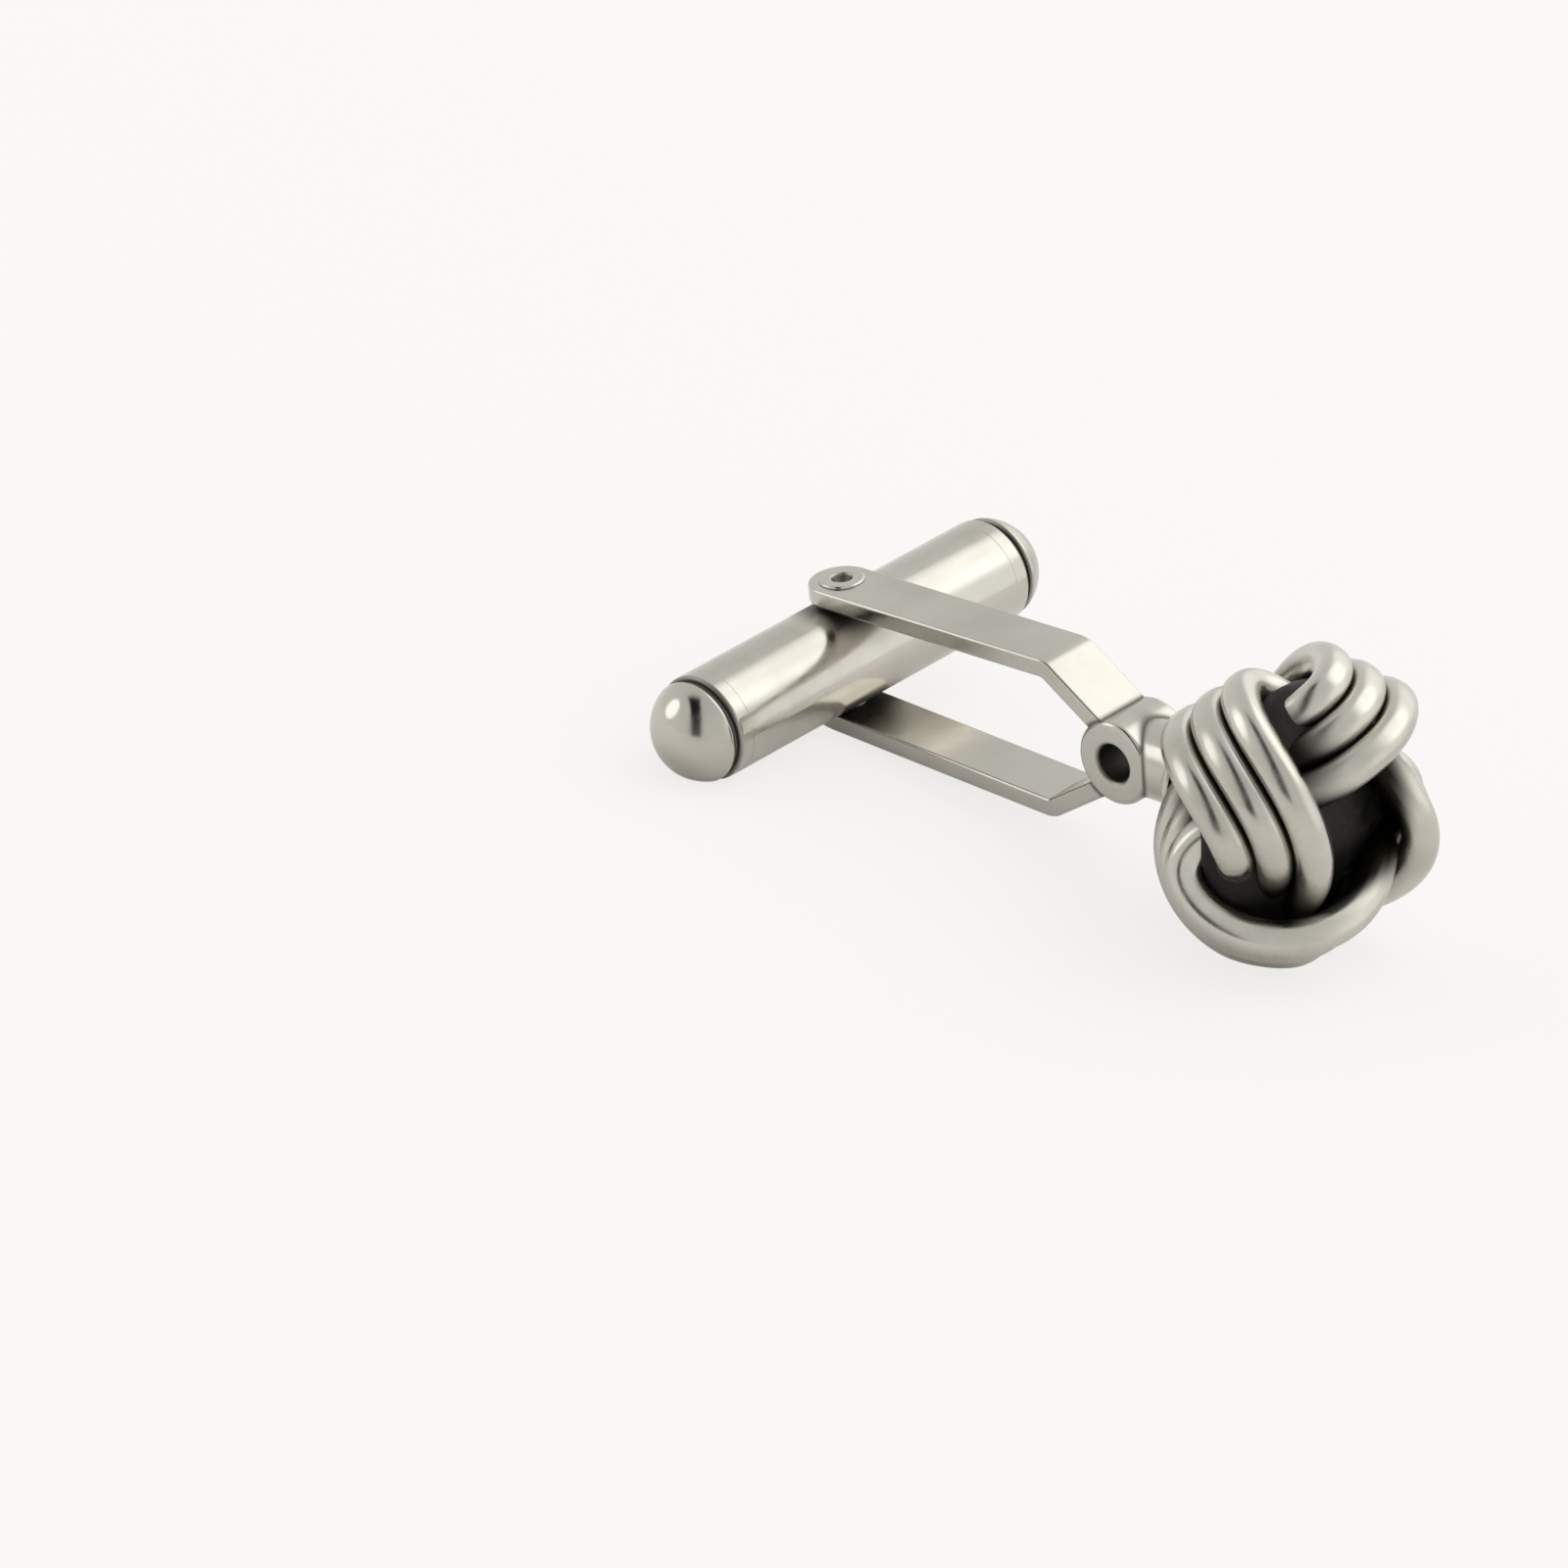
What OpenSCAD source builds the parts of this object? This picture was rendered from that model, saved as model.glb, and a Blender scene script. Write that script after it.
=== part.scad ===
// Knot cufflink with a torpedo bar that swivels between the two arms of a fork.
// Millimetres. X runs along the fork to the front of the knot, Y along the bar, Z up the pivot pin.
// The origin is on the fork's axis, where the back of the knot rests on the cuff.

/* [Knot] */
// Radius of the surface that the wires weave about, across the pole
weave_r = 4.08; // [4:0.01:4.6]
// Half depth of that surface, along the pole
weave_half_depth = 3.6; // [3.5:0.01:4.2]
// Diameter of one wire
wire_d = 1.34; // [1:0.01:1.36]
// Free gap between two wires that lie side by side in a loop
wire_gap = 0.03; // [0.02:0.01:0.05]
// How far a loop stands over or under the surface where it crosses the other
weave_lift = 0.92; // [0.9:0.01:1]
// Turn of the weave about its pole, in degrees
weave_turn_deg = 0; // [-45:1:45]

/* [Former and post] */
// Free gap between the former inside the knot and the wires that pass under
former_gap = 0.12; // [0.05:0.01:0.3]
// Radius of the post between the knuckle and the knot
post_r = 1.45; // [1.2:0.05:1.6]
// Radius of the collar that seats on the back of the knot
collar_r = 2.4; // [2.2:0.05:3]
// Thickness of the collar's rim
collar_t = 0.3; // [0.2:0.05:0.5]
// Radius of the hollow flare from the post to the collar
flare_r = 0.8; // [0.4:0.05:0.9]
// Free gap between the wires round the pole and the spigot that passes them into the former
spigot_gap = 0.13; // [0.05:0.01:0.3]
// Depth of the spigot inside the former
spigot_depth = 1.6; // [1:0.1:2]
// Distance of the knuckle's axis from the plane that the back of the knot lies in
knuckle_back = 3.4; // [3:0.05:4]

/* [Fork] */
// Distance from the pivot to the knuckle
fork_length = 13.9; // [12:0.1:18]
// Distance from the pivot to the bend of an arm
arm_length = 10.5; // [10:0.1:11]
// Width of an arm
arm_w = 2.45; // [2:0.05:3]
// Thickness of an arm
arm_t = 0.7; // [0.5:0.05:0.9]
// How far each arm leans out from the pivot to the bend
arm_lean = 0.35; // [0.1:0.05:0.6]
// Angle at which the shoulder turns in to the knuckle, in degrees
shoulder_deg = 33; // [25:1:40]
// Inner radius of the bend
bend_r = 0.4; // [0.2:0.05:0.8]
// Outer radius of the knuckle tube
knuckle_r = 1.6; // [1.4:0.05:1.9]
// Radius of the hole through the knuckle
knuckle_hole_r = 0.7; // [0.4:0.05:1]
// Length of the knuckle tube
knuckle_len = 2.6; // [2:0.05:3.2]

/* [Bar] */
// Length of the bar over its domed ends
bar_length = 19; // [17:0.5:21]
// Diameter of the bar
bar_d = 4.0; // [3.8:0.1:4.4]
// Wall of the bar tube
bar_wall = 0.45; // [0.3:0.05:0.6]
// Width of the straight band at the foot of each dome
cap_band = 0.4; // [0.2:0.05:0.8]
// Width of the groove between the cap and the tube
groove_w = 0.16; // [0.1:0.02:0.3]
// Depth of that groove
groove_depth = 0.14; // [0.08:0.02:0.25]
// Length of the cap's spigot inside the tube
cap_spigot = 1.2; // [0.8:0.1:1.6]
// Radius of the edge round the band of the cap
cap_edge_r = 0.1; // [0.05:0.01:0.15]

/* [Pivot] */
// Diameter of the pivot pin
pin_d = 1.2; // [1:0.05:1.4]
// Width across the flats of the pin inside the bar
pin_flats = 1.0; // [0.85:0.05:1]
// Radial clearance of the pin in the bar
pin_clearance = 0.04; // [0.02:0.01:0.08]
// Free gap between the bar and each arm at the pivot
side_gap = 0.08; // [0.05:0.01:0.15]
// Radius of the rivet's head
head_r = 0.85; // [0.75:0.05:1]
// Height of the rivet's head over the arm
head_h = 0.1; // [0.06:0.02:0.2]
// Radius of the dimple in the rivet's head
dimple_r = 0.42; // [0.3:0.02:0.6]
// Depth of that dimple
dimple_depth = 0.35; // [0.2:0.05:0.6]

/* [Detent springs] */
// Thickness of a leaf spring
leaf_t = 0.16; // [0.1:0.02:0.2]
// Width of a leaf spring
leaf_w = 1.5; // [1:0.1:1.8]
// Free gap round a leaf, at the pin, the bore and the caps
leaf_gap = 0.02; // [0.01:0.01:0.05]

/* [Hidden] */
$fn = 64;

silver = [0.80, 0.80, 0.77];
black_finish = [0.10, 0.10, 0.10];
spring_steel = [0.55, 0.56, 0.58];

// One overrun for every cut that leaves a solid
overrun = 0.5;

// The weave: two linked loops that each swing twice to the front and twice to the back round the pole
swing_count = 2;
loop_count = 2;
bight_count = swing_count * loop_count;
// Share of a quarter turn that a loop swings to each pole from the middle of its swing
swing_share = 0.381;
// Share of a quarter turn by which that middle lies behind the equator
behind_share = 0.01;
// How much straighter than a cosine a loop runs past the pole
straight_share = 0.03;
// Share of a radian by which a loop runs ahead round the pole before a crossing
run_ahead_share = 0.036;
// Steepness of the step from over to under
steepness_share = 1;
ring_count = 96;
ring_side_count = 10;
probe_share = 0.00001;

wire_pitch = wire_d + wire_gap;
// Centres of the wires of one loop; the other loop lies the same, turned round the pole
loop_points = [for (i = [0:ring_count - 1]) for (ply = [-1:1]) weave_point(i / ring_count, ply, 0)];

// The wires that reach furthest back touch the plane of the cuff
knot_mid_x = max([for (p = loop_points) -p[0]]) + wire_d / 2;

// Clear radius of the hole that the wires leave round the pole
pole_hole_r = min([for (p = loop_points) norm([p[1], p[2]])]) - wire_d / 2;
spigot_r = pole_hole_r - spigot_gap;

// The collar's face seats on the wires that its rim reaches
collar_face_x = knot_mid_x
    + min([for (p = loop_points)
        let (past = max(0, norm([p[1], p[2]]) - collar_r))
        if (past < wire_d / 2) p[0] - sqrt(wire_d * wire_d / 4 - past * past)]);

core_r = weave_r - weave_lift - wire_d / 2 - former_gap;
core_half_depth = weave_half_depth - weave_lift - wire_d / 2 - former_gap;
core_step_count = 24;
bend_step_count = 8;
leaf_step_count = 16;

// Places along the fork
knuckle_x = -knuckle_back;
pivot_x = knuckle_x - fork_length;

// The bar and what it leaves for the arms and the leaves
bar_r = bar_d / 2;
bore_r = bar_r - bar_wall;
tube_half = bar_length / 2 - bar_r - cap_band;
arm_inner_z = bar_r + side_gap;
lean_deg = atan(arm_lean / arm_length);
arm_outer_z = arm_inner_z + arm_t / cos(lean_deg);
flats_half = sqrt(bore_r * bore_r - pin_d * pin_d / 4) - 2 * pin_clearance;
leaf_half = tube_half - cap_spigot - leaf_gap;
leaf_seat = pin_flats / 2 + leaf_gap;
leaf_bow = sqrt(bore_r * bore_r - leaf_w * leaf_w / 4) - leaf_gap - leaf_t - leaf_seat;

function tanh(x) = (exp(2 * x) - 1) / (exp(2 * x) + 1);
function unit(v) = v / norm(v);

// Phase of the swings at a share of a whole loop, in degrees
function weave_phase(s) = 360 * swing_count * s;

// Middle of a loop: its angle from the pole swings while it goes round
function band_swing(phase) = (cos(phase) - straight_share * cos(3 * phase)) / (1 - straight_share);
function band_colat(phase) = 90 * (1 + behind_share + swing_share * band_swing(phase));
function band_azimuth(phase, loop) =
    phase / swing_count + 360 * loop / bight_count
    + run_ahead_share * 180 / PI * sin(2 * phase) + weave_turn_deg;
function band_step(phase) = tanh(steepness_share * sin(phase)) / tanh(steepness_share);

function band_on_surface(phase, loop) =
    let (c = band_colat(phase), z = band_azimuth(phase, loop))
    [weave_half_depth * cos(c), weave_r * sin(c) * cos(z), weave_r * sin(c) * sin(z)];

function band_normal(phase, loop) =
    let (c = band_colat(phase), z = band_azimuth(phase, loop))
    unit([cos(c) / weave_half_depth, sin(c) * cos(z) / weave_r, sin(c) * sin(z) / weave_r]);

// One wire of a loop: the middle of the loop, lifted along the surface's normal and moved sideways
function weave_at(phase, ply, loop) =
    let (
        ahead = band_on_surface(phase + 360 * probe_share, loop),
        back = band_on_surface(phase - 360 * probe_share, loop),
        n = band_normal(phase, loop),
        side = unit(cross(ahead - back, n))
    )
    band_on_surface(phase, loop) + weave_lift * band_step(phase) * n + ply * wire_pitch * side;

function weave_point(s, ply, loop) = weave_at(weave_phase(s), ply, loop);

// A ring of points round a wire, square to its path
function ring_points(s, ply, loop) =
    let (
        phase = weave_phase(s),
        mid = weave_at(phase, ply, loop),
        probe = 360 * probe_share,
        along = unit(weave_at(phase + probe, ply, loop) - weave_at(phase - probe, ply, loop)),
        side = unit(cross(along, band_normal(phase, loop))),
        up = cross(side, along)
    )
    [for (k = [0:ring_side_count - 1])
        let (a = 360 * k / ring_side_count)
        mid + wire_d / 2 * (cos(a) * up + sin(a) * side)];

// A wire is a closed row of rings with two triangles between neighbouring points
module knot_wire(ply, loop) {
    points = [for (i = [0:ring_count - 1]) each ring_points(i / ring_count, ply, loop)];
    faces = [
        for (i = [0:ring_count - 1]) for (k = [0:ring_side_count - 1])
            let (
                j = (i + 1) % ring_count,
                l = (k + 1) % ring_side_count,
                a = i * ring_side_count + k,
                b = i * ring_side_count + l,
                c = j * ring_side_count + l,
                d = j * ring_side_count + k
            )
            each [[a, c, b], [a, d, c]]
    ];
    color(silver)
        translate([knot_mid_x, 0, 0])
            polyhedron(points = points, faces = faces);
}

module knot_wire_a() {
    knot_wire(-1, 0);
}

module knot_wire_b() {
    knot_wire(0, 0);
}

module knot_wire_c() {
    knot_wire(1, 0);
}

module knot_wire_d() {
    knot_wire(-1, 1);
}

module knot_wire_e() {
    knot_wire(0, 1);
}

module knot_wire_f() {
    knot_wire(1, 1);
}

// Turned shapes are drawn with the turning axis up and laid along X
module along_x() {
    rotate([0, 90, 0])
        children();
}

// The former is an ellipse turned about the pole, with a socket for the post
module knot_core() {
    color(black_finish)
        difference() {
            translate([knot_mid_x, 0, 0])
                along_x()
                    rotate_extrude()
                        polygon([
                            for (i = [0:core_step_count])
                                let (a = -90 + 180 * i / core_step_count)
                                [core_r * cos(a), core_half_depth * sin(a)]
                        ]);
            translate([knot_mid_x - core_half_depth - overrun, 0, 0])
                along_x()
                    cylinder(r = spigot_r, h = spigot_depth + overrun);
        }
}

// The post has a neck coped to the knuckle, a hollow flare, a collar and a spigot into the former
module post() {
    neck_len = collar_face_x - collar_t - flare_r - knuckle_x;
    spigot_len = knot_mid_x - core_half_depth + spigot_depth - collar_face_x + collar_t;
    color(silver)
        difference() {
            union() {
                translate([knuckle_x, 0, 0])
                    along_x()
                        cylinder(r = post_r, h = neck_len + flare_r);
                translate([knuckle_x + neck_len, 0, 0])
                    along_x()
                        rotate_extrude()
                            difference() {
                                square([post_r + flare_r, flare_r]);
                                translate([post_r + flare_r, 0])
                                    circle(r = flare_r);
                            }
                translate([collar_face_x - collar_t, 0, 0])
                    along_x()
                        cylinder(r = collar_r, h = collar_t);
                translate([collar_face_x - collar_t, 0, 0])
                    along_x()
                        cylinder(r = spigot_r, h = spigot_len);
            }
            translate([knuckle_x, 0, 0])
                rotate([90, 0, 0])
                    cylinder(r = knuckle_r, h = 2 * post_r + 2 * overrun, center = true);
        }
}

module knuckle() {
    color(silver)
        translate([knuckle_x, 0, 0])
            rotate([90, 0, 0])
                difference() {
                    cylinder(r = knuckle_r, h = knuckle_len, center = true);
                    cylinder(r = knuckle_hole_r, h = knuckle_len + 2 * overrun, center = true);
                }
}

// Side outline of an arm from the pivot: a straight lean, a round bend and the shoulder to the knuckle
module arm_side() {
    top_deg = 90 + lean_deg;
    end_deg = 90 - shoulder_deg;
    lean = [cos(lean_deg), sin(lean_deg)];
    down = [cos(shoulder_deg), -sin(shoulder_deg)];
    across = [-sin(lean_deg), cos(lean_deg)];
    bend_start = [arm_length, arm_inner_z + arm_lean];
    centre = bend_start - bend_r * across;
    back = arm_length + arm_w;
    reach = fork_length - arm_length;
    inner = [for (i = [0:bend_step_count])
        let (a = top_deg + (end_deg - top_deg) * i / bend_step_count)
        centre + bend_r * [cos(a), sin(a)]];
    outer = [for (i = [0:bend_step_count])
        let (a = end_deg + (top_deg - end_deg) * i / bend_step_count)
        centre + (bend_r + arm_t) * [cos(a), sin(a)]];
    polygon(concat(
        [inner[0] - lean * back],
        inner,
        [inner[bend_step_count] + down * reach, outer[0] + down * reach],
        outer,
        [outer[bend_step_count] - lean * back]
    ));
}

// An arm is its side outline cut to the strip's plan, bored for the pin and coped to the knuckle
module arm() {
    tall = arm_outer_z + arm_lean + arm_t;
    difference() {
        intersection() {
            rotate([90, 0, 0])
                linear_extrude(height = arm_w, center = true)
                    arm_side();
            union() {
                cylinder(d = arm_w, h = tall);
                translate([0, -arm_w / 2, 0])
                    cube([fork_length, arm_w, tall]);
            }
        }
        cylinder(d = pin_d, h = tall + overrun);
        translate([fork_length, 0, 0])
            rotate([90, 0, 0])
                cylinder(r = knuckle_r, h = arm_w + 2 * overrun, center = true);
    }
}

module arm_upper() {
    color(silver)
        translate([pivot_x, 0, 0])
            arm();
}

module arm_lower() {
    color(silver)
        translate([pivot_x, 0, 0])
            mirror([0, 0, 1])
                arm();
}

// A rivet's head lies flat on the outside of an arm, with a dimple at its middle
module rivet_place() {
    for (side = [0, 1])
        mirror([0, 0, side])
            translate([0, 0, arm_outer_z])
                rotate([0, -lean_deg, 0])
                    children();
}

// The pin is round in the arms and in the bar's walls, and has four flats between them
module pivot_pin() {
    color(silver)
        translate([pivot_x, 0, 0])
            difference() {
                union() {
                    difference() {
                        cylinder(d = pin_d, h = 2 * arm_outer_z + head_h, center = true);
                        difference() {
                            cube([pin_d + overrun, pin_d + overrun, 2 * flats_half], center = true);
                            cube([pin_flats, pin_flats, 2 * flats_half + overrun], center = true);
                        }
                    }
                    rivet_place()
                        cylinder(r = head_r, h = head_h);
                }
                rivet_place()
                    translate([0, 0, head_h - dimple_depth])
                        cylinder(r1 = 0, r2 = 2 * dimple_r, h = 2 * dimple_depth);
            }
}

module bar_tube() {
    color(silver)
        translate([pivot_x, 0, 0])
            difference() {
                rotate([90, 0, 0])
                    difference() {
                        cylinder(r = bar_r, h = 2 * tube_half, center = true);
                        cylinder(r = bore_r, h = 2 * tube_half + 2 * overrun, center = true);
                    }
                cylinder(r = pin_d / 2 + pin_clearance, h = bar_d + 2 * overrun, center = true);
            }
}

// A cap has a spigot in the tube, a groove, a band with a round edge, and a dome
module cap() {
    edge = [for (i = [0:bend_step_count])
        let (a = -90 + 90 * i / bend_step_count)
        [bar_r - cap_edge_r + cap_edge_r * cos(a), groove_w + cap_edge_r + cap_edge_r * sin(a)]];
    rotate([-90, 0, 0]) {
        rotate_extrude()
            polygon(concat(
                [[0, -cap_spigot], [bore_r, -cap_spigot], [bore_r, 0], [bar_r - groove_depth, 0]],
                [[bar_r - groove_depth, groove_w]],
                edge,
                [[bar_r, cap_band], [0, cap_band]]
            ));
        translate([0, 0, cap_band])
            intersection() {
                sphere(r = bar_r);
                cylinder(r = bar_d, h = bar_d);
            }
    }
}

module cap_far() {
    color(silver)
        translate([pivot_x, tube_half, 0])
            cap();
}

module cap_near() {
    color(silver)
        translate([pivot_x, -tube_half, 0])
            mirror([0, 1, 0])
                cap();
}

// A leaf bows along the bar from the pin's flat to the bore at its ends
module leaf() {
    inner = [for (i = [0:leaf_step_count])
        let (u = -1 + 2 * i / leaf_step_count)
        [leaf_seat + leaf_bow * u * u, leaf_half * u]];
    outer = [for (i = [0:leaf_step_count])
        let (u = 1 - 2 * i / leaf_step_count)
        [leaf_seat + leaf_t + leaf_bow * u * u, leaf_half * u]];
    linear_extrude(height = leaf_w, center = true)
        polygon(concat(inner, outer));
}

module spring_head_side() {
    color(spring_steel)
        translate([pivot_x, 0, 0])
            leaf();
}

module spring_free_side() {
    color(spring_steel)
        translate([pivot_x, 0, 0])
            mirror([1, 0, 0])
                leaf();
}

knot_wire_a();
knot_wire_b();
knot_wire_c();
knot_wire_d();
knot_wire_e();
knot_wire_f();
knot_core();
post();
knuckle();
arm_upper();
arm_lower();
pivot_pin();
bar_tube();
cap_near();
cap_far();
spring_head_side();
spring_free_side();
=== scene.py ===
import bpy
import bmesh
import numpy as np
from mathutils import Matrix, Vector


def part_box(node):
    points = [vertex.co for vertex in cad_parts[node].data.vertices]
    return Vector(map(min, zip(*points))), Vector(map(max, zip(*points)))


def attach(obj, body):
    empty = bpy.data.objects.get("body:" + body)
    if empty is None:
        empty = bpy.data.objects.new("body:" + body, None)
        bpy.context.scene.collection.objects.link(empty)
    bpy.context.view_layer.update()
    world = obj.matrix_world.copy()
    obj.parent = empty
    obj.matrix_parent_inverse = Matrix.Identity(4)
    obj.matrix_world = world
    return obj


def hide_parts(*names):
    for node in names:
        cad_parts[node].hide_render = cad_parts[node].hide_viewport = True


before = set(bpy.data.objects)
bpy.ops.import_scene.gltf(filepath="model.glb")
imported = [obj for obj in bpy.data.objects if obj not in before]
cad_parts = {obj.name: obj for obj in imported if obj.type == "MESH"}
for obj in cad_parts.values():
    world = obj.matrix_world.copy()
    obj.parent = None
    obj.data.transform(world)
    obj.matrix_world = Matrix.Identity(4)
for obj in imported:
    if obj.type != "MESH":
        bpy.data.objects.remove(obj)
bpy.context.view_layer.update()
mm = 0.001
print("cufflink frame loaded")

crisp = 0.02  # a row of points this near an edge keeps the flat beside it flat
farAway = 9.0
meshLimits = {
    "merge": 1e-8,  # metres within which two points become one
    "degenerate": 1e-9,
}


# A surface is a grid of points, rows by columns by xyz in millimetres. Its columns close on themselves, and its rows
# may; values are its attributes, one number a point
def surfaceMesh(name, points, closeRows=False, values=None):
    rows, columns = points.shape[:2]
    r, c = np.meshgrid(np.arange(rows if closeRows else rows - 1), np.arange(columns), indexing="ij")
    nextR, nextC = (r + 1) % rows, (c + 1) % columns
    quads = np.stack([r * columns + c, r * columns + nextC, nextR * columns + nextC, nextR * columns + c], -1)
    mesh = bpy.data.meshes.new(name)
    mesh.from_pydata((points.reshape(-1, 3) * mm).tolist(), [], quads.reshape(-1, 4).tolist())
    for key, value in (values or {}).items():
        mesh.attributes.new(key, "FLOAT", "POINT").data.foreach_set("value", value.reshape(-1).astype(np.float32))
    soft = bmesh.new()
    soft.from_mesh(mesh)
    bmesh.ops.remove_doubles(soft, verts=soft.verts, dist=meshLimits["merge"])
    bmesh.ops.dissolve_degenerate(soft, edges=soft.edges, dist=meshLimits["degenerate"])
    bmesh.ops.recalc_face_normals(soft, faces=soft.faces)
    for face in soft.faces:
        face.smooth = True
    soft.to_mesh(mesh)
    soft.free()
    return mesh


newPieces = {}  # by name, for the painted shade and joint lines that are worked out when all of them stand


def addPiece(name, mesh, body, finish, slot, *nodes):
    piece = newPieces[name] = bpy.data.objects.new(name, mesh)
    bpy.context.scene.collection.objects.link(piece)
    mesh.materials.append(finish)
    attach(piece, body)
    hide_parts(*nodes)


def unitRows(v):
    return v / np.linalg.norm(v, axis=-1, keepdims=True)


# Share from 0 to 1 by which a value has gone from where something isn't yet seen to where it is full
def fade(value, unseen, full):
    return np.clip((value - unseen) / (full - unseen), 0, 1)


def eased(share):
    return share * share * (3 - 2 * share)


# Points on a circle from one angle to another, as offsets from its centre
def quarter(fromDeg, toDeg, radius, steps=8):
    a = np.radians(np.linspace(fromDeg, toDeg, steps + 1))
    return np.stack([radius * np.cos(a), radius * np.sin(a)], 1)


# A stretch of a profile that stays at one radius
def level(start, end, count, radius):
    return np.stack([np.linspace(start, end, count), np.full(count, radius)], 1)


# A profile of (distance along the axis, radius) turned a full circle; toAxis places (along, across 1, across 2)
def turned(profile, sides, toAxis):
    a = np.linspace(0, 2 * np.pi, sides, endpoint=False)
    along = np.repeat(profile[:, :1], sides, 1)
    return toAxis(along, profile[:, 1:2] * np.cos(a), profile[:, 1:2] * np.sin(a))


# A grid's values from those of a coarser one, by where each point lies between two rows and two columns of it
def spreadOut(coarse, rows, columns):
    row, column = np.arange(rows) / (rows // len(coarse)), np.arange(columns) / (columns // coarse.shape[1])
    low, left = np.floor(row).astype(int), np.floor(column).astype(int)
    part, share = (row - low)[:, None], (column - left)[None]
    high, right = (low + 1) % len(coarse), (left + 1) % coarse.shape[1]
    near = coarse[low][:, left] * (1 - share) + coarse[low][:, right] * share
    far = coarse[high][:, left] * (1 - share) + coarse[high][:, right] * share
    return near * (1 - part) + far * part


# Materials: every one is a node tree that reads Object coordinates or an attribute of its own piece
def newFinish(name):
    finish = bpy.data.materials.new(name)
    finish.use_nodes = True
    tree = finish.node_tree
    return finish, tree, tree.nodes["Principled BSDF"]


def link(tree, source, target):
    tree.links.new(source, target)


def addNode(tree, kind, **settings):
    node = tree.nodes.new(kind)
    for key, value in settings.items():
        setattr(node, key, value)
    return node


def objectCoordinates(tree):
    return addNode(tree, "ShaderNodeTexCoord").outputs["Object"]


def stretched(tree, coordinates, scale):
    node = addNode(tree, "ShaderNodeMapping")
    node.inputs["Scale"].default_value = scale
    link(tree, coordinates, node.inputs["Vector"])
    return node.outputs["Vector"]


def noise(tree, coordinates, scale, detail=3.0, roughness=0.55):
    node = addNode(tree, "ShaderNodeTexNoise")
    node.inputs["Scale"].default_value = scale
    node.inputs["Detail"].default_value = detail
    node.inputs["Roughness"].default_value = roughness
    link(tree, coordinates, node.inputs["Vector"])
    return node.outputs["Fac"]


def remap(tree, source, low, high, toLow, toHigh):
    node = addNode(tree, "ShaderNodeMapRange", interpolation_type="SMOOTHSTEP")
    node.inputs["From Min"].default_value = low
    node.inputs["From Max"].default_value = high
    node.inputs["To Min"].default_value = toLow
    node.inputs["To Max"].default_value = toHigh
    link(tree, source, node.inputs["Value"])
    return node.outputs["Result"]


def mixColour(tree, factor, first, second):
    node = addNode(tree, "ShaderNodeMix", data_type="RGBA")
    link(tree, factor, node.inputs[0])
    for socket, value in ((node.inputs[6], first), (node.inputs[7], second)):
        if isinstance(value, tuple):
            socket.default_value = (*value, 1)
        else:
            link(tree, value, socket)
    return node.outputs[2]


def bumped(tree, height, strength, depth):
    node = addNode(tree, "ShaderNodeBump")
    node.inputs["Strength"].default_value = strength
    node.inputs["Distance"].default_value = depth
    link(tree, height, node.inputs["Height"])
    return node


# In every look a scale counts features in a metre, a depth is in metres, and a pair says where in the noise an effect
# begins and where it is full
silverLook = {
    "light": (0.60, 0.582, 0.528),  # polished plate
    "worn": (0.53, 0.510, 0.452),   # faint tarnish in clouds
    "cloudScale": 260,
    "clouds": (0.35, 0.75),
    "shadeAndJoints": (0.020, 0.017, 0.013),  # painted shade and dark joint lines, which are rougher
    "shadeAndJointsRough": 0.55,
    "roughLow": 0.12,
    "roughHigh": 0.22,
    "roughScale": 900,
    "roughSpread": (0.3, 0.7),
    "scratches": 0.12,
    "scratchScale": 5200,
    "scratchDepth": 0.00002,
    "waves": 0.35,  # slow unevenness of a surface polished by hand
    "waveScale": 420,
    "waveDepth": 0.00003,
}
# the wires are brushed, not buffed
wireLook = dict(silverLook, light=(0.64, 0.62, 0.562), roughLow=0.20, roughHigh=0.30, scratches=0.05)

# Painted shadow and reflection of the arms on the bar's tube, darkest where each arm lies on it
shadedBar = {
    "nearest": (17.3, 0, 2.0),  # where the bar lies under each arm, without its signs
    "inner": 1.20,  # painted shadow and reflection of the arm is full this near it
    "outer": 2.50,
    "dark": 0.82,
}


# Painted shadow and reflection of the arms on the bar's tube, from the distance to where the nearer arm lies on it
def armShade(tree, coordinates, shade):
    unsigned = addNode(tree, "ShaderNodeVectorMath", operation="ABSOLUTE")
    link(tree, coordinates, unsigned.inputs[0])
    distance = addNode(tree, "ShaderNodeVectorMath", operation="DISTANCE")
    distance.inputs[1].default_value = tuple(c * mm for c in shade["nearest"])
    link(tree, unsigned.outputs[0], distance.inputs[0])
    return remap(tree, distance.outputs["Value"], shade["inner"] * mm, shade["outer"] * mm, shade["dark"], 0)
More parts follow.
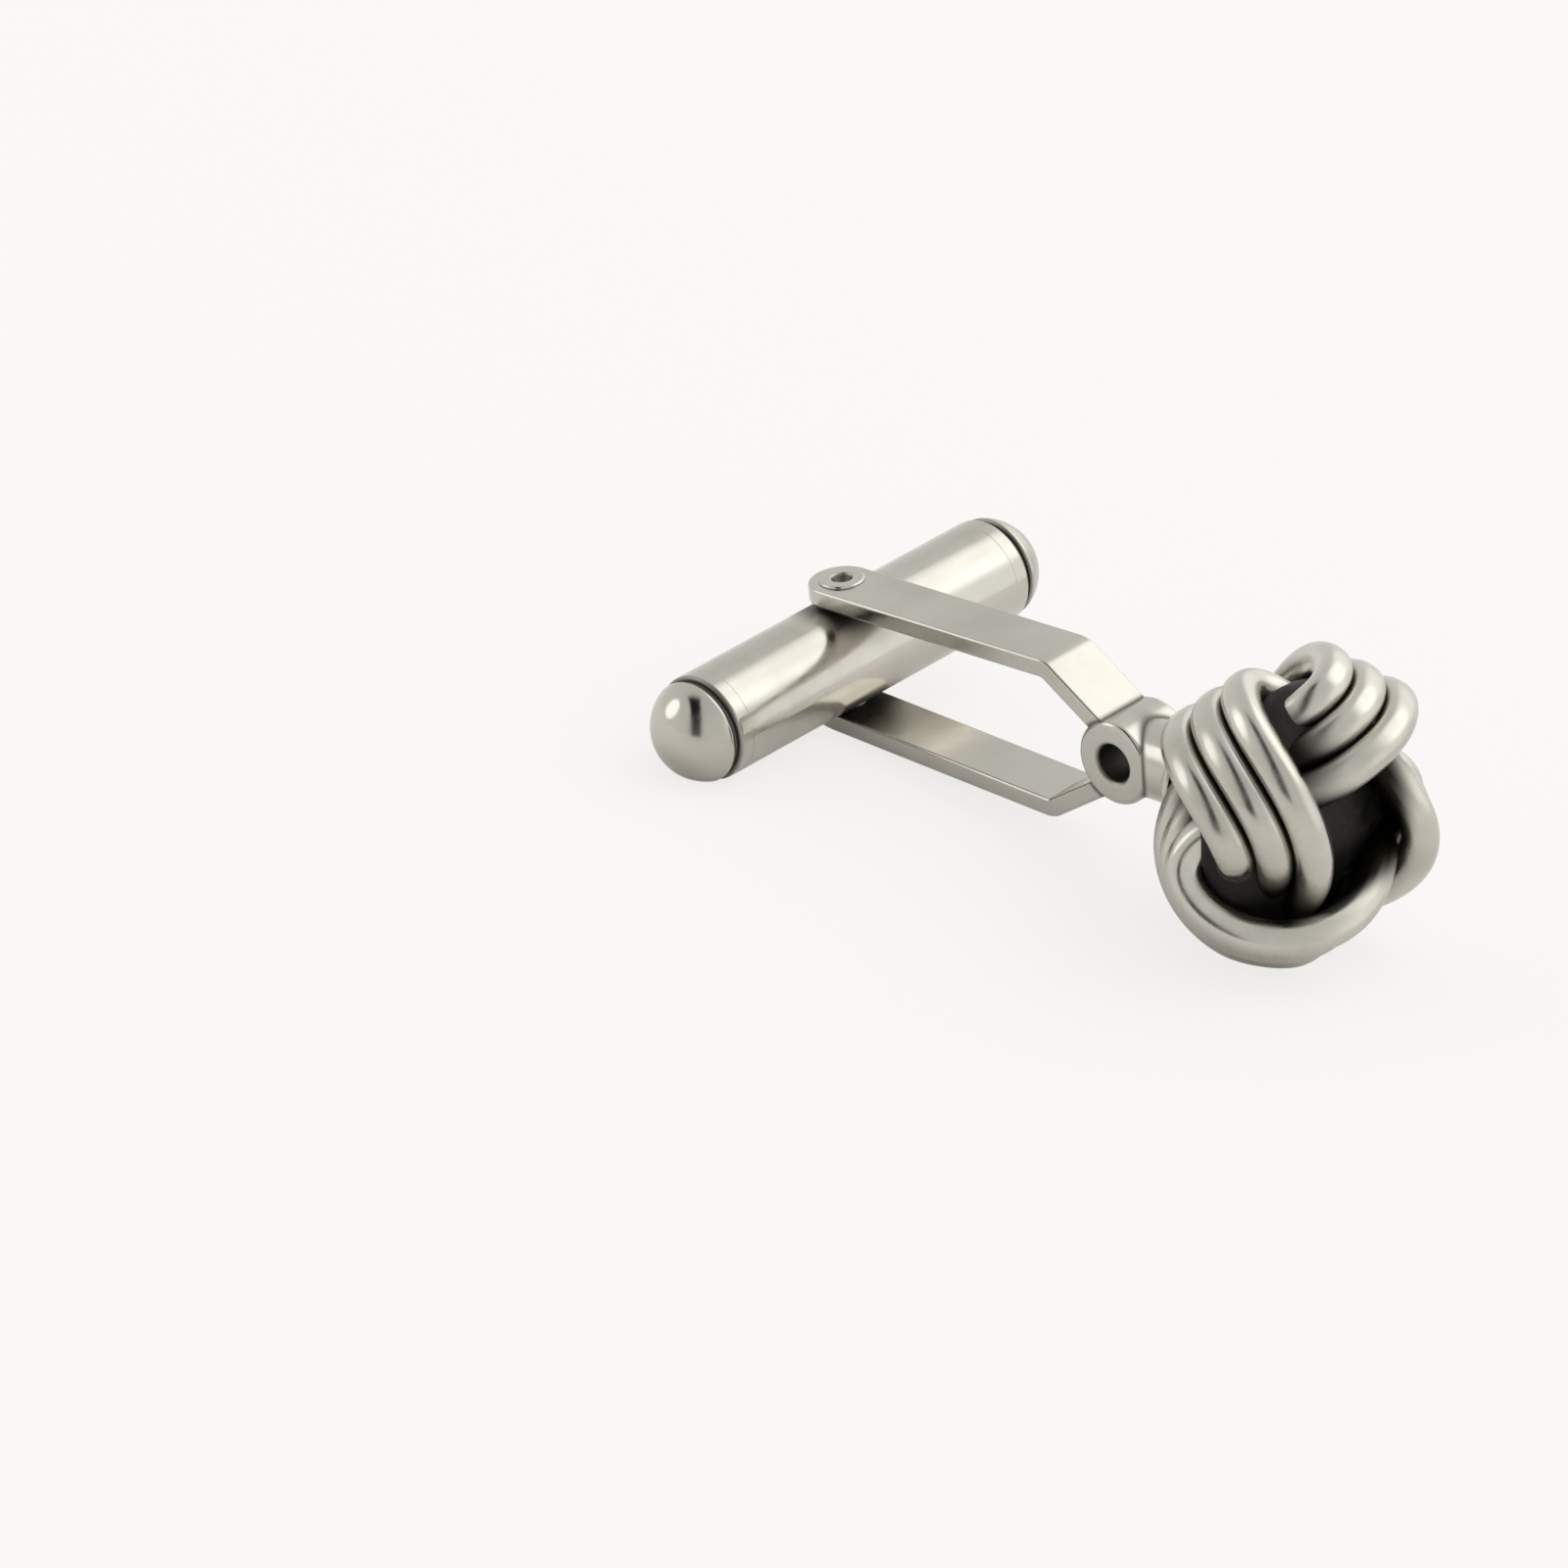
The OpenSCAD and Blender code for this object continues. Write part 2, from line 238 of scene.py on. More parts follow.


# Polished silver: clouds of faint tarnish, a roughness that wanders, fine polishing scratches along one direction.
# Its darkening is painted shade and dark joint lines, from a point attribute of the piece, or on the bar's tube
# the painted shadow and reflection of the arms over it
def silverFinish(name, look, along=(1, 1, 1), shaded=None):
    finish, tree, shader = newFinish(name)
    coordinates = objectCoordinates(tree)
    clouds = noise(tree, coordinates, look["cloudScale"], detail=4)
    colour = mixColour(tree, remap(tree, clouds, *look["clouds"], 0, 1), look["light"], look["worn"])
    wander = noise(tree, coordinates, look["roughScale"], detail=3)
    rough = remap(tree, wander, *look["roughSpread"], look["roughLow"], look["roughHigh"])
    if shaded:
        dark = armShade(tree, coordinates, shaded)
    else:
        dark = addNode(tree, "ShaderNodeAttribute", attribute_name="shadeAndJoints").outputs["Fac"]
    # painted shade and dark joint lines darken the colour and make it rougher
    shader.inputs["Metallic"].default_value = 1.0
    link(tree, mixColour(tree, dark, colour, look["shadeAndJoints"]), shader.inputs["Base Color"])
    roughMix = addNode(tree, "ShaderNodeMix", data_type="FLOAT")
    link(tree, dark, roughMix.inputs[0])
    link(tree, rough, roughMix.inputs[2])
    roughMix.inputs[3].default_value = look["shadeAndJointsRough"]
    link(tree, roughMix.outputs[0], shader.inputs["Roughness"])
    waves = bumped(tree, noise(tree, coordinates, look["waveScale"], detail=2), look["waves"], look["waveDepth"])
    scratches = noise(tree, stretched(tree, coordinates, along), look["scratchScale"], detail=2, roughness=0.7)
    bump = bumped(tree, scratches, look["scratches"], look["scratchDepth"])
    link(tree, waves.outputs["Normal"], bump.inputs["Normal"])
    link(tree, bump.outputs["Normal"], shader.inputs["Normal"])
    return finish


wireSilver = silverFinish("wireSilver", wireLook)
stripSilver = silverFinish("stripSilver", silverLook, along=(0.06, 1, 1))
barSilver = silverFinish("barSilver", silverLook, along=(1, 0.08, 1))
# the tube's silver is darkened by the painted shadow and reflection of the arms over it
tubeSilverArmShade = silverFinish("tubeSilverArmShade", silverLook, along=(1, 0.08, 1), shaded=shadedBar)
turnedSilver = silverFinish("turnedSilver", silverLook, along=(1, 0.3, 0.3))

blackLook = {
    "shadeBlack": (0.012, 0.011, 0.010),
    "metal": (0.05, 0.047, 0.04),
    "metallic": 0.6,
    "grainScale": 1800,
    "metalShows": (0.55, 0.85),
    "roughLow": 0.42,
    "roughHigh": 0.7,
    "roughSpread": (0.3, 0.8),
    "grain": 0.3,
    "grainDepth": 0.00003,
}


# Near-black dull metal with a little metal showing through on its high grain: painted shade for the inside of the knot
def blackFinish(name, look):
    finish, tree, shader = newFinish(name)
    grain = noise(tree, objectCoordinates(tree), look["grainScale"], detail=5)
    shows = remap(tree, grain, *look["metalShows"], 0, 1)
    link(tree, mixColour(tree, shows, look["shadeBlack"], look["metal"]), shader.inputs["Base Color"])
    rough = remap(tree, grain, *look["roughSpread"], look["roughLow"], look["roughHigh"])
    link(tree, rough, shader.inputs["Roughness"])
    shader.inputs["Metallic"].default_value = look["metallic"]
    bump = bumped(tree, grain, look["grain"], look["grainDepth"])
    link(tree, bump.outputs["Normal"], shader.inputs["Normal"])
    return finish


springLook = {
    "steel": (0.50, 0.51, 0.53),
    "straw": (0.56, 0.53, 0.47),
    "drawn": (1, 0.05, 1),
    "grainScale": 6000,
    "roughLow": 0.28,
    "roughHigh": 0.42,
    "roughSpread": (0.3, 0.7),
}


# Spring steel: drawn grain along the leaf and a faint straw tint from tempering
def springFinish(name, look):
    finish, tree, shader = newFinish(name)
    grain = noise(tree, stretched(tree, objectCoordinates(tree), look["drawn"]), look["grainScale"], detail=3)
    link(tree, mixColour(tree, grain, look["steel"], look["straw"]), shader.inputs["Base Color"])
    rough = remap(tree, grain, *look["roughSpread"], look["roughLow"], look["roughHigh"])
    link(tree, rough, shader.inputs["Roughness"])
    shader.inputs["Metallic"].default_value = 1.0
    return finish


# the near-black former is painted shade for the inside of the knot
blackened = blackFinish("blackened", blackLook)
springSteel = springFinish("springSteel", springLook)
print("finishes made")

knotSizes = {
    "weaveR": 4.08,  # the flattened ball that the two loops run round on
    "weaveHalfDepth": 3.6,
    "wire": 1.34,
    "gap": 0.03,
    "lift": 0.92,  # how far a loop passes over or under that ball
    "swings": 2,
    "loops": 2,
    "swingShare": 0.381,  # share of a quarter turn that a loop swings to each pole
    "behindShare": 0.01,  # share of a quarter turn by which it does so about a line behind the equator
    "straightShare": 0.03,  # how much straighter than a cosine it runs past the pole
    "runAhead": 0.036,  # radians that it runs ahead round the pole before a crossing
    "steepness": 1.0,  # of the step from over to under
    "squareness": 2.4,  # 2 is a round wire; more flattens it as planishing does
    "probe": 1e-4,  # step of the phase that a direction is taken over
    "rings": 720,
    "sides": 32,
    "ringStride": 3,  # painted shade is worked out on every third ring and second side
    "sideStride": 2,
    "creaseReach": 0.10,  # how wide the painted shade in a crease is
    "creaseUnder": 0.65,  # times this where the band passes under
    "creaseOver": 0.85,  # and this much more where it passes over
    "batch": 2048,
}


# Middle of a loop at a phase: its angle from the pole swings as a flattened cosine while it goes half as fast round
# the pole, and a step of the phase lifts it along the surface's normal to pass over, or sinks it to pass under
def loopAt(knot, phase, loop):
    straight = knot["straightShare"]
    swing = (np.cos(phase) - straight * np.cos(3 * phase)) / (1 - straight)
    colat = np.pi / 2 * (1 + knot["behindShare"] + knot["swingShare"] * swing)
    azimuth = phase / knot["swings"] + 2 * np.pi * loop / (knot["swings"] * knot["loops"])
    azimuth = azimuth + knot["runAhead"] * np.sin(2 * phase)
    spread = np.stack([np.cos(colat), np.sin(colat) * np.cos(azimuth), np.sin(colat) * np.sin(azimuth)], 1)
    axes = np.array([knot["weaveHalfDepth"], knot["weaveR"], knot["weaveR"]])
    step = np.tanh(knot["steepness"] * np.sin(phase)) / np.tanh(knot["steepness"])
    return spread * axes, unitRows(spread / axes), step


# Middle of a wire: the loop's, lifted along the normal by the step and moved sideways by the wire's place in its band
def wirePath(knot, phase, ply, loop):
    middle, normal, step = loopAt(knot, phase, loop)
    ahead = loopAt(knot, phase + knot["probe"], loop)[0] - loopAt(knot, phase - knot["probe"], loop)[0]
    side = unitRows(np.cross(ahead, normal))
    pitch = knot["wire"] + knot["gap"]
    return middle + knot["lift"] * step[:, None] * normal + ply * pitch * side, normal


# A wire is a superellipse carried along its path, square to it
def wireSurface(knot, ply, loop):
    phase = np.linspace(0, 2 * np.pi * knot["swings"], knot["rings"], endpoint=False)
    path, normal = wirePath(knot, phase, ply, loop)
    ahead, behind = (wirePath(knot, phase + step, ply, loop)[0] for step in (knot["probe"], -knot["probe"]))
    along = unitRows(ahead - behind)
    side = unitRows(np.cross(along, normal))
    up = np.cross(side, along)
    a = np.linspace(0, 2 * np.pi, knot["sides"], endpoint=False)
    power = 2 / knot["squareness"]
    u = np.sign(np.cos(a)) * np.abs(np.cos(a)) ** power
    v = np.sign(np.sin(a)) * np.abs(np.sin(a)) ** power
    spoke = u[:, None] * up[:, None] + v[:, None] * side[:, None]
    return path, path[:, None] + knot["wire"] / 2 * spoke


# Painted shade in the crease between two wires: it fades with the square of the gap to the nearest other wire, and the
# crease is wider where the band passes over
def wireCreaseShade(knot, grid, others):
    coarse = grid[::knot["ringStride"]]
    flat = coarse.reshape(-1, 3)
    nearest = np.full(len(flat), farAway)
    for path in others:
        for start in range(0, len(flat), knot["batch"]):
            some = slice(start, start + knot["batch"])
            gaps = np.linalg.norm(flat[some, None] - path[None, ::knot["ringStride"]], axis=2).min(1)
            nearest[some] = np.minimum(nearest[some], gaps)
    gap = np.maximum(nearest - knot["wire"] / 2, 0).reshape(coarse.shape[:2])
    phase = np.linspace(0, 2 * np.pi * knot["swings"], len(coarse), endpoint=False)[:, None]
    reach = knot["creaseReach"] * (knot["creaseUnder"] + knot["creaseOver"] * np.clip(np.sin(phase), 0, 1))
    return spreadOut(np.exp(-gap ** 2 / reach ** 2), *grid.shape[:2])


wireLetters = "abcdef"
wireNames = ["knotWire" + letter.upper() for letter in wireLetters]
wires = [wireSurface(knotSizes, ply, loop) for loop in range(knotSizes["loops"]) for ply in (-1, 0, 1)]
backReach = max(-path[:, 0].min() for path, _ in wires)
knotMid = np.array([backReach + knotSizes["wire"] / 2, 0, 0])
for index, name in enumerate(wireNames):
    path, grid = wires[index]
    dark = wireCreaseShade(knotSizes, grid, [wires[k][0] for k in range(len(wires)) if k != index])
    mesh = surfaceMesh(name, grid + knotMid, closeRows=True, values={"crease": dark})
    addPiece(name, mesh, "fork", wireSilver, "wire", "knot_wire_" + wireLetters[index])

formerSizes = {
    "radius": 4.62,
    "halfDepth": 2.2,
    "rows": 110,
    "columns": 200,
}


# The former is a flattened ball that the undersides of the wires are bedded in: along each ray from its middle it
# reaches one over the length of the ray divided by the three half axes
def formerSurface(former, middle):
    u = np.linspace(0, np.pi, former["rows"])
    v = np.linspace(0, 2 * np.pi, former["columns"], endpoint=False)
    u, v = np.meshgrid(u, v, indexing="ij")
    ray = np.stack([np.cos(u), np.sin(u) * np.cos(v), np.sin(u) * np.sin(v)], -1)
    axes = np.array([former["halfDepth"], former["radius"], former["radius"]])
    reach = 1 / np.linalg.norm(ray / axes, axis=-1, keepdims=True)
    return ray * reach + middle


# near-black former: painted shade inside the knot
addPiece("knotCore", surfaceMesh("knotCore", formerSurface(formerSizes, knotMid)),
         "fork", blackened, "former", "knot_core")
print("knot woven")

forkSizes = {
    "pivotX": -17.3,
    "kneeX": -3.4,
    "armLength": 10.5,
    "armWidth": 2.45,
    "armThick": 0.7,
    "armInner": 2.08,  # height of an arm's inner face over the pivot
    "armLean": 0.35,   # how much higher it is at the bend
    "bendR": 0.4,
    "shoulderDeg": 33,
    "edge": 0.11,  # round on the strip's edges
    "sinkR": 0.62,  # countersink that the rivet's dimple goes down into
    "sink": 0.45,
    "armIn": 0.95,  # the shoulder ends this far short of the knuckle's middle, inside its wall
    "knuckleR": 1.6,
    "knuckleHole": 0.7,
    "knuckleLen": 2.6,
    "knuckleEdge": 0.20,
    "knuckleSides": 128,
    "knuckleRows": 56,
    "holeRows": 14,
    "holeRim": 0.16,  # how far the painted shade in the hole reaches out over its round edge
    "holeDark": 0.9,
}


# The middle line of a strip in the pivot's (along, up) plane: its lean, the turn of its bend and the bend's centre and
# radius, then a point and two directions of the straight shoulder
def armLine(fork):
    lean = np.arctan(fork["armLean"] / fork["armLength"])
    shoulder = np.radians(fork["shoulderDeg"])
    across = np.array([-np.sin(lean), np.cos(lean)])
    centre = np.array([fork["armLength"], fork["armInner"] + fork["armLean"]]) - fork["bendR"] * across
    midR = fork["bendR"] + fork["armThick"] / 2
    drop = np.array([np.cos(shoulder), -np.sin(shoulder)])
    dropAcross = np.array([np.sin(shoulder), np.cos(shoulder)])
    return {"lean": lean, "shoulder": shoulder, "centre": centre, "midR": midR, "foot": centre + midR * dropAcross,
            "drop": drop, "dropAcross": dropAcross}


armGrid = {
    "face": [-1, -0.985, *np.linspace(-0.93, 0.93, 15), 0.985, 1],  # places across a face, as shares of its half width
    "wall": [1, 0.9, 0.45, 0, -0.4, -0.7, -0.85, -0.93, -1],  # and down a side, closest where it stands on the bar
    "tipSteps": 25,
    "headLen": 3.5,  # the rivet's end of the strip, which has closer rows
    "headSteps": 24,
    "runSteps": 26,
    "bendSteps": 17,
    "shoulderFrom": 0.06,
    "shoulderTo": 3.0,
    "shoulderSteps": 50,
}


# Places along a strip, from its tip's centre to its end in the knuckle's wall
def armRun(fork, counts, line, bendAt, bendEnd):
    run = np.concatenate([
        np.linspace(0, counts["headLen"], counts["headSteps"])[1:],
        np.linspace(counts["headLen"], bendAt, counts["runSteps"])[1:-1], [bendAt - crisp],
        np.linspace(bendAt, bendEnd, counts["bendSteps"]), [bendEnd + crisp],
        bendEnd + np.linspace(counts["shoulderFrom"], counts["shoulderTo"], counts["shoulderSteps"])])
    knee = np.array([fork["kneeX"] - fork["pivotX"], 0])
    last = bendEnd + (knee - line["foot"]) @ line["drop"] - fork["armIn"]
    return np.concatenate([run[run < last], [last]])


# A strip: its plan has a round end and straight sides, its edges are quarter rounds that draw the plan in, and its
# middle line runs straight, round a bend and straight again. Offsets stand square to that line.
def armSurface(fork, counts):
    line = armLine(fork)
    lean, shoulder, centre, midR = line["lean"], line["shoulder"], line["centre"], line["midR"]
    half, tall, edge = fork["armWidth"] / 2, fork["armThick"] / 2, fork["edge"]
    flat = tall - edge

    # columns round the section: offset from the middle line, how far the plan is drawn in, and share of the half width
    bend = quarter(90, 0, edge)[1:-1]
    top = [(tall, edge, f) for f in counts["face"]]
    rightTop = [(flat + up, edge - out, 1) for out, up in bend]
    right = [(flat * f, 0, 1) for f in counts["wall"]]
    rightLow = [(-(flat + up), edge - out, 1) for out, up in bend[::-1]]
    bottom = [(-tall, edge, f) for f in counts["face"][::-1]]
    leftLow, left, leftTop = ([(q, d, -f) for q, d, f in part[::-1]] for part in (rightLow, right, rightTop))
    q, drawn, share = np.array([*top, *rightTop, *right, *rightLow, *bottom, *leftLow, *left, *leftTop]).T

    bendAt = (centre[0] - midR * np.sin(lean)) / np.cos(lean)
    bendEnd = bendAt + midR * (lean + shoulder)
    run = armRun(fork, counts, line, bendAt, bendEnd)
    turn = np.radians(np.linspace(0, 90, counts["tipSteps"]))[:, None]
    s = np.concatenate([-(half - drawn) * np.cos(turn), np.repeat(run[:, None], len(q), 1)])
    y = np.concatenate([share * (half - drawn) * np.sin(turn), np.repeat((share * (half - drawn))[None], len(run), 0)])

    q = np.where((np.hypot(s, y) < fork["sinkR"]) & (q == tall), q - fork["sink"], q)
    bent = np.clip((s - bendAt) / midR, 0, lean + shoulder)
    before, past = np.minimum(s - bendAt, 0), np.maximum(s - bendEnd, 0)
    x = centre[0] - (midR + q) * np.sin(lean - bent) + before * np.cos(lean) + past * line["drop"][0]
    z = centre[1] + (midR + q) * np.cos(lean - bent) + before * np.sin(lean) + past * line["drop"][1]
    grid = np.stack([x + fork["pivotX"], y, z], -1)
    end = np.repeat(grid[-1:].mean(1, keepdims=True), grid.shape[1], 1)
    return np.concatenate([grid, end])


arm = armSurface(forkSizes, armGrid)
addPiece("armUpper", surfaceMesh("armUpper", arm), "fork", stripSilver, "arm", "arm_upper")
addPiece("armLower", surfaceMesh("armLower", arm * (1, 1, -1)), "fork", stripSilver, "arm", "arm_lower")


# The knuckle is a tube turned about Y with round edges inside and out
def knuckleSurface(fork):
    half, outer, hole, edge = fork["knuckleLen"] / 2, fork["knuckleR"], fork["knuckleHole"], fork["knuckleEdge"]
    face = half - edge
    profile = np.concatenate([
        [[-face + crisp, hole], [-face, hole]],
        quarter(-90, -180, edge)[1:] + (-face, hole + edge),
        [[-half, hole + edge + crisp], [-half, outer - edge - crisp]],
        quarter(180, 90, edge) + (-face, outer - edge),
        level(-face + crisp, face - crisp, fork["knuckleRows"], outer),
        quarter(90, 0, edge) + (face, outer - edge),
        [[half, outer - edge - crisp], [half, hole + edge + crisp]],
        quarter(0, -90, edge)[:-1] + (face, hole + edge),
        [[face, hole]],
        level(face - crisp, -face + 2 * crisp, fork["holeRows"], hole)])
    # painted shade in the hole, reaching out over its round edge
    dark = fade(profile[:, 1], hole + fork["holeRim"], hole) * fork["holeDark"]
    grid = turned(profile, fork["knuckleSides"], lambda a, u, v: np.stack([v + fork["kneeX"], a, u], -1))
    return grid, np.repeat(dark[:, None], fork["knuckleSides"], 1)


grid, dark = knuckleSurface(forkSizes)
addPiece("knuckleTube", surfaceMesh("knuckleTube", grid, closeRows=True, values={"crease": dark}),
         "fork", turnedSilver, "post", "knuckle")

postSizes = {
    "neckR": 1.45,
    "neckIn": 0.1,  # how far the neck goes into the knuckle's wall
    "flareR": 0.8,
    "collarR": 2.4,
    "collarThick": 0.3,
    "collarFace": 0.08,
    "spigotR": 1.535,
    "spigotEnd": 3.65,
    "edge": 0.1,
    "edgeSteps": 6,
    "sides": 96,
    "neckRows": 60,
    "flareRows": 15,
}


# The post is turned about X: neck, hollow flare, collar with a round rim, spigot. Its foot follows the knuckle's round
def postSurface(post, fork):
    neckR, flareR, edge, front, spigotR = (post[key] for key in ("neckR", "flareR", "edge", "collarFace", "spigotR"))
    back = front - post["collarThick"]
    start = back - flareR
    flare = np.radians(np.linspace(0, 90, post["flareRows"]))
    profile = np.concatenate([
        level(fork["kneeX"], start, post["neckRows"], neckR)[:-1],
        np.stack([start + flareR * np.sin(flare), neckR + flareR * (1 - np.cos(flare))], 1),
        quarter(180, 90, edge, post["edgeSteps"]) + (back + edge, post["collarR"] - edge),
        quarter(90, 0, edge, post["edgeSteps"]) + (front - edge, post["collarR"] - edge),
        [[front, spigotR + crisp], [front, spigotR], [post["spigotEnd"], spigotR], [post["spigotEnd"], 0]]])
    grid = turned(profile, post["sides"], lambda a, u, v: np.stack([a, u, v], -1))
    saddle = fork["kneeX"] + np.sqrt(np.maximum(fork["knuckleR"] ** 2 - grid[..., 2] ** 2, 0)) - post["neckIn"]
    grid[..., 0] = np.where(grid[..., 0] < start, np.maximum(grid[..., 0], saddle), grid[..., 0])
    foot = np.repeat(grid[:1].mean(1, keepdims=True), post["sides"], 1)
    return np.concatenate([foot, grid])


addPiece("turnedPost", surfaceMesh("turnedPost", postSurface(postSizes, forkSizes)),
         "fork", turnedSilver, "post", "post")

pinSizes = {
    "rodR": 0.6,
    "flats": 1.0,  # across the flats that the springs press on
    "flatsHalf": 1.35,
    "flatsStep": 0.001,
    "headR": 0.85,
    "headH": 0.1,
    "headEdge": 0.09,
    "headUp": 0.005,  # the head's side ends this far over the arm, and its foot goes this far in
    "headIn": 0.03,
    "leanDepth": 0.2,  # how far below the arm's face the rivet still leans with it
    "dimpleR": 0.42,
    "dimpleDepth": 0.35,
    "bowlShare": 0.9,  # how much of the dimple's radius its bowl takes
    "bowlPower": 2.2,  # 2 is a round bowl; more gives it a flatter floor
    "bowlStart": 0.08,  # share of the bowl where its first row past the middle lies
    "bowlRows": 14,
    "lip": [(-0.03, -0.021), (-0.01, 0), (-0.002, 0.03), (0, 0.07)],  # up to the face and out from the dimple's radius
    "lipDepth": 0.06,
    "dimpleFade": (1.04, 0.84),  # shares of the dimple's radius where its painted shade begins and is full
    "dimpleDark": 0.8,
    "footDark": 0.7,
    "sides": 96,
}


# The rivet is turned about Z; between the walls of the bar its radius is cut down to four flats, and its heads lie on
# the leaning arms
def pinSurface(pin, fork):
    slope = fork["armLean"] / fork["armLength"]
    outer = fork["armInner"] + fork["armThick"] * np.sqrt(1 + slope ** 2)
    foot, face, edge = outer - pin["headIn"], outer + pin["headH"], pin["headEdge"]
    floor = face - pin["dimpleDepth"]
    headR, rodR, flatsHalf = pin["headR"], pin["rodR"], pin["flatsHalf"]
    share = np.linspace(pin["bowlStart"], 1, pin["bowlRows"])
    bowl = floor + (pin["dimpleDepth"] - pin["lipDepth"]) * share ** pin["bowlPower"]
    side = np.concatenate([
        [[floor, 0]],
        np.stack([bowl, pin["dimpleR"] * pin["bowlShare"] * share], 1),
        np.array(pin["lip"]) + (face, pin["dimpleR"]),
        [[face, headR - edge - crisp]],
        quarter(0, 90, edge) + (face - edge, headR - edge),
        [[outer + pin["headUp"], headR], [foot, headR - pin["headIn"]], [foot, rodR]],
        [[flatsHalf + step * pin["flatsStep"], rodR] for step in (1, 0, -1)]])
    profile = np.concatenate([side, side[::-1] * (-1, 1)])
    grid = turned(profile, pin["sides"], lambda a, u, v: np.stack([u, v, a], -1))
    high = np.abs(grid[..., 2])
    wide = np.maximum(np.abs(grid[..., 0]), np.abs(grid[..., 1]))
    cut = np.where(high < flatsHalf, np.minimum(1, pin["flats"] / 2 / np.maximum(wide, 1e-6)), 1)
    grid[..., :2] *= cut[..., None]
    middle = np.hypot(grid[..., 0], grid[..., 1]) / pin["dimpleR"]
    # painted shade in the dimple, and a dark joint line where the head's foot meets the arm
    dimpleDark = np.where(high > floor - crisp, fade(middle, *pin["dimpleFade"]) * pin["dimpleDark"], 0)
    footDark = np.where(high < outer + crisp, pin["footDark"], 0)
    leaning = high > outer - pin["leanDepth"]
    grid[..., 2] += np.where(leaning, np.sign(grid[..., 2]) * slope * grid[..., 0], 0)
    return grid + (fork["pivotX"], 0, 0), np.maximum(dimpleDark, footDark)


grid, dark = pinSurface(pinSizes, forkSizes)
addPiece("pivotPin", surfaceMesh("pivotPin", grid, values={"crease": dark}), "fork", turnedSilver, "pin", "pivot_pin")
print("fork, post and rivet made")

barSizes = {
    "radius": 2.0,
    "tubeHalf": 7.1,
    "boreR": 1.55,
    "spigot": 1.2,
    "spigotEdge": 0.1,
    "seam": 0.012,  # broken edge that shows where tube and cap meet
    "band": 0.4,  # from the tube's end to the half ball's middle
    "bandRows": (0.03, 0.2),
    "grooveAt": 0.66,  # past the tube's end, where the photograph shows it
    "grooveWidth": 0.18,
    "grooveDepth": 0.17,
    "grooveDark": 0.75,
    "grooveFade": 0.135,  # how far its painted shade reaches over its edges
    "edge": 0.15,
    "domeEdgeDeg": 105,  # the groove's far edge turns down to this, where it meets the dome
    "domeRows": 60,
    "sides": 128,
}


# A cap is turned about Y: spigot, band with a round foot, groove, and the half ball from the groove's far edge on
def capSurface(bar, sign, fork):
    r, edge, near, far = bar["radius"], bar["edge"], bar["grooveAt"], bar["grooveAt"] + bar["grooveWidth"]
    dome = quarter(90, 0, r, bar["domeRows"]) + (bar["band"], 0)
    shoulder = np.sqrt(r ** 2 - (far + edge - bar["band"]) ** 2)
    floor = shoulder - bar["grooveDepth"]
    profile = np.concatenate([
        [[-bar["spigot"], 0], [-bar["spigot"], bar["boreR"] - bar["spigotEdge"]],
         [-bar["spigot"] + bar["spigotEdge"], bar["boreR"]], [0, bar["boreR"]], [0, r - bar["seam"]], [bar["seam"], r]],
        [[y, r] for y in (*bar["bandRows"], near - edge - crisp)],
        quarter(90, 0, edge) + (near - edge, r - edge),
        [[near, floor + crisp], [near + crisp, floor], [far - crisp, floor], [far, floor + crisp]],
        quarter(180, bar["domeEdgeDeg"], edge) + (far + edge, shoulder - edge),
        dome[dome[:, 0] > far + edge + crisp / 2]])
    profile[-1, 1] = 0
    # painted shade in the groove, reaching over its edges
    fromMiddle = np.abs(profile[:, 0] - (near + far) / 2)
    inner = bar["grooveWidth"] / 2
    dark = np.where(profile[:, 0] < 0, 0, fade(fromMiddle, inner + bar["grooveFade"], inner) * bar["grooveDark"])
    grid = turned(profile, bar["sides"],
                  lambda a, u, v: np.stack([v + fork["pivotX"], sign * (a + bar["tubeHalf"]), u], -1))
    return grid, np.repeat(dark[:, None], bar["sides"], 1)


for name, sign, node in (("capFar", 1, "cap_far"), ("capNear", -1, "cap_near")):
    grid, dark = capSurface(barSizes, sign, forkSizes)
    addPiece(name, surfaceMesh(name, grid, values={"crease": dark}), "bar", barSilver, "bar", node)
print("bar made")

# Painted shade where nearby metal closes a surface off and deep in the knot, and dark lines where pieces meet
shadeAndJointLook = {
    "reach": 1.2,   # how far nearby metal still counts toward the painted shade
    "begins": 0.22,  # share of the open half round that is closed off where painted shade begins
    "full": 0.65,
    "wireBegins": 0.50,
    "wireFull": 1.00,
    "hollowBegins": 0.83,  # share of the way out from the knot's middle below which a wire gets painted shade, deep in the knot
    "hollowFull": 0.70,
    "joint": 0.10,  # width of the dark line where two pieces meet
    "jointDark": 0.75,
    "tubeRows": 60,
    "tubeSides": 48,
    "window": 1.7,  # reaches round a batch of points in which samples still count
    "soften": 0.4,  # share of a sample's area that keeps points close to it from reading too dark
    "batch": 256,
}


# Small flat samples that stand for a piece's surface: middle, outward normal and area of every few of its faces
def faceSamples(mesh, count):
    total = len(mesh.polygons)
    middle, normal, area = np.empty(total * 3), np.empty(total * 3), np.empty(total)
    mesh.polygons.foreach_get("center", middle)
    mesh.polygons.foreach_get("normal", normal)
    mesh.polygons.foreach_get("area", area)
    stride = max(1, total // count)
    stride += 1 - stride % 2
    pick = slice(stride // 2, None, stride)
    middle, normal, picked = middle.reshape(-1, 3)[pick], normal.reshape(-1, 3)[pick], area[pick]
    return np.column_stack([middle / mm, normal, picked * area.sum() / picked.sum() / mm ** 2])


